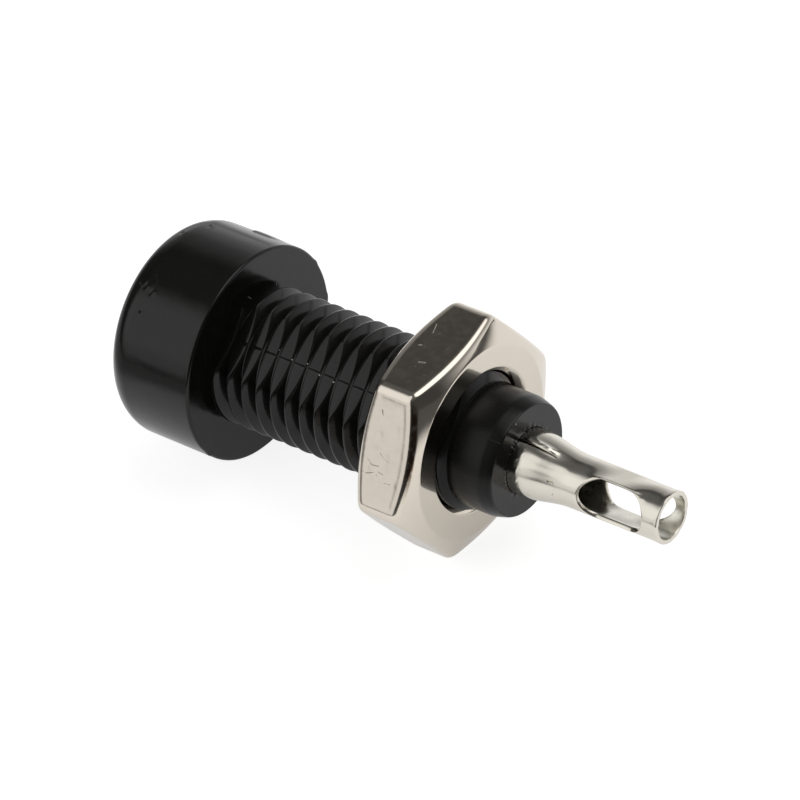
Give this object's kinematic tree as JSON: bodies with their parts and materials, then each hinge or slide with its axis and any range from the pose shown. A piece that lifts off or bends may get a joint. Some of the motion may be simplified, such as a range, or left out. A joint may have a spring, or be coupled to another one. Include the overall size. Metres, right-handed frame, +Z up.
{
  "type": "panel mount test socket",
  "caption": "Insulated panel-mount socket for a small tip plug: round moulded head, interrupted threaded shank, hex nut and a rolled contact with a slotted solder tube.",
  "frame": {"origin": "centre of the seat under the head, on the axis, where the front of a panel rests", "axes": "+X along the axis from the head to the solder tube, +Z up through the middle of one of the nut's flats, +Y to the right seen from the tube's mouth with +Z up"},
  "size_m": [0.027, 0.0112, 0.01],
  "materials": {
    "plastic": "glossy black moulding with fine mould lines",
    "contact_plate": "bright tin plate on brass sheet",
    "nut_plate": "warm bright nickel plate on brass, lightly scratched"
  },
  "bodies": {
    "socket": {"insulator_body": "plastic", "contact": "contact_plate"},
    "nut": {"hex_nut": "nut_plate"}
  },
  "joints": [
    {"name": "nut_travel", "type": "slide", "parent": "socket", "child": "nut", "axis": [1, 0, 0], "range_m": [-0.0088, 0.0024]}
  ]
}
